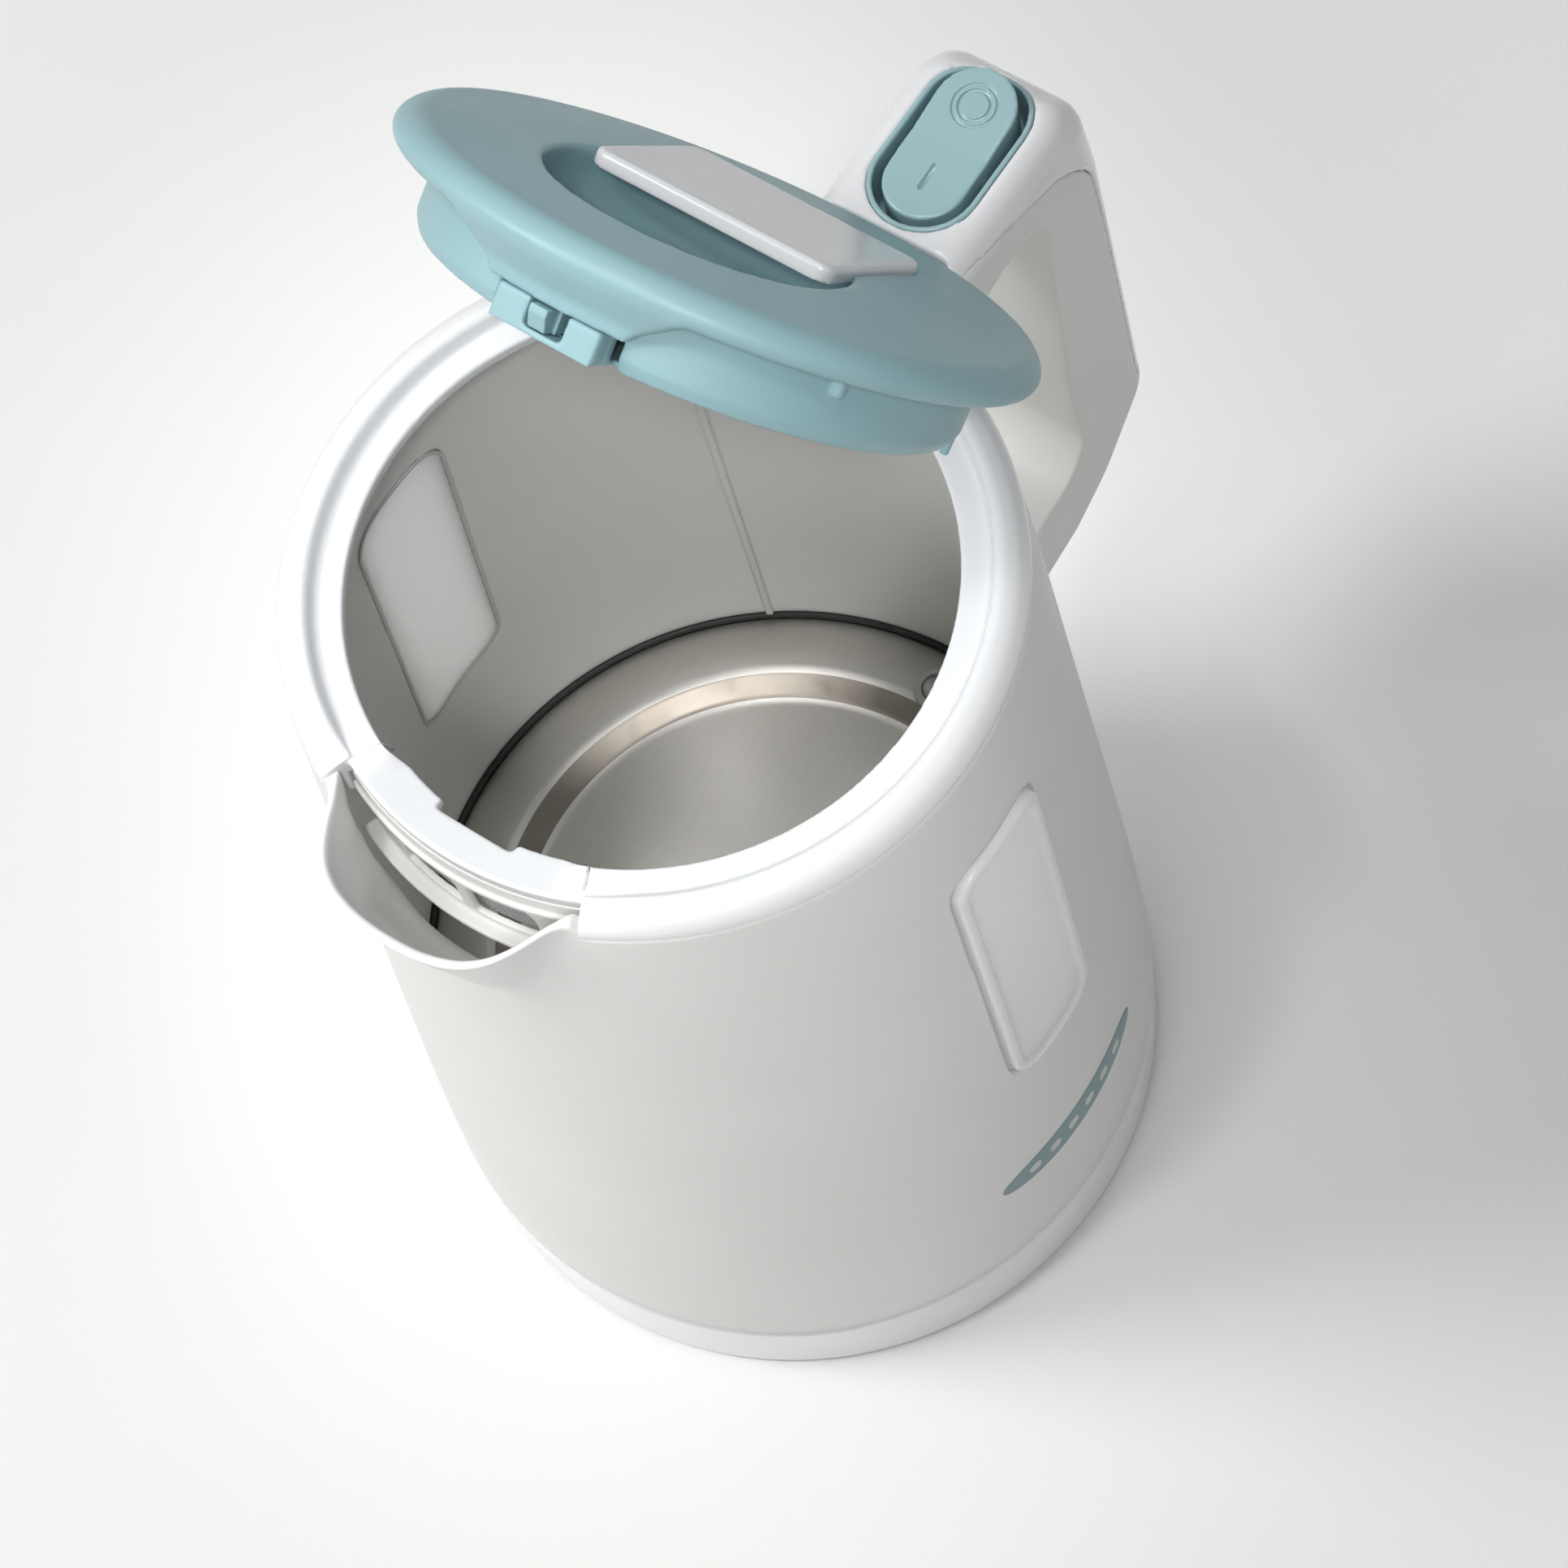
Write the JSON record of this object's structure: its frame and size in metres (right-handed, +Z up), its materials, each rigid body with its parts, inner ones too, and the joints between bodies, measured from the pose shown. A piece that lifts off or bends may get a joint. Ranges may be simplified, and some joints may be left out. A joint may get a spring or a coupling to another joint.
{
  "type": "electric kettle",
  "caption": "Cordless electric kettle on a round power base, tapered jug with side windows, spout with filter, closed-loop handle with rocker switch, hinged lid stored open.",
  "frame": {"origin": "on the jug's axis, at the table surface under the base's feet", "axes": "+Z up along the jug's axis, spout along -X, handle along +X, windows on +Y and -Y; the kettle is symmetric about the XZ plane"},
  "size_m": [0.2061, 0.1576, 0.325],
  "materials": {
    "white_gloss": "glossy white polypropylene",
    "white_satin": "satin white polypropylene",
    "teal_satin": "satin blue-green polypropylene",
    "teal_gloss": "glossy blue-green plastic",
    "window_clear": "frosted clear plastic",
    "silicone_white": "matt silicone",
    "seal_black": "matt silicone",
    "rubber_grey": "matt rubber",
    "plate_steel": "brushed stainless steel",
    "screw_steel": "plain steel",
    "mesh_steel": "fine woven mesh",
    "element_aluminium": "cast aluminium",
    "pin_brass": "polished brass",
    "black_plastic": "matt black nylon"
  },
  "bodies": {
    "base": {"base_cover": "white_gloss", "base_plate": "white_satin", "base_feet": "rubber_grey", "base_screws": "screw_steel", "base_connector": "black_plastic", "base_centre_pin": "pin_brass", "base_contact_ring": "pin_brass", "cord_gland": "rubber_grey"},
    "kettle": {"body_shell": "white_satin", "rim_collar": "white_gloss", "window_left": "window_clear", "window_right": "window_clear", "window_gaskets": "silicone_white", "filter_frame": "white_satin", "filter_mesh": "mesh_steel", "heating_plate": "plate_steel", "plate_seal": "seal_black", "retaining_ring": "screw_steel", "heating_element": "element_aluminium", "dry_boil_probe": "screw_steel", "probe_grommet": "silicone_white", "kettle_connector": "black_plastic", "bottom_cover": "white_satin", "bottom_screws": "screw_steel", "handle_shell": "white_gloss", "handle_grip": "white_satin", "handle_screw": "screw_steel", "switch_well": "teal_gloss", "rocker_pin": "screw_steel", "steam_switch": "black_plastic", "bimetal_disc": "screw_steel", "hinge_pin": "screw_steel", "hinge_spring": "screw_steel"},
    "lid": {"lid_top": "teal_satin", "grip_plate": "white_gloss", "lid_plug": "teal_satin", "lid_inner_cover": "teal_satin", "lid_screws": "screw_steel", "latch_spring": "screw_steel"},
    "latch": {"lid_latch": "teal_satin"},
    "rocker": {"rocker": "teal_gloss"}
  },
  "joints": [
    {"name": "kettle_lift", "type": "slide", "parent": "base", "child": "kettle", "axis": [0, 0, 1], "range_m": [0, 0.12]},
    {"name": "lid_hinge", "type": "hinge", "parent": "kettle", "child": "lid", "pos_m": [0.0715, 0, 0.217], "axis": [0, 1, 0], "range_deg": [-54, 14]},
    {"name": "latch_slide", "type": "slide", "parent": "lid", "child": "latch", "axis": [0.5878, 0, -0.809], "range_m": [0, 0.003], "stiffness_N_per_m": 300, "springref_m": -0.002},
    {"name": "rocker_tilt", "type": "hinge", "parent": "kettle", "child": "rocker", "pos_m": [0.095, 0, 0.221], "axis": [0, 1, 0], "range_deg": [-8, 0]}
  ]
}
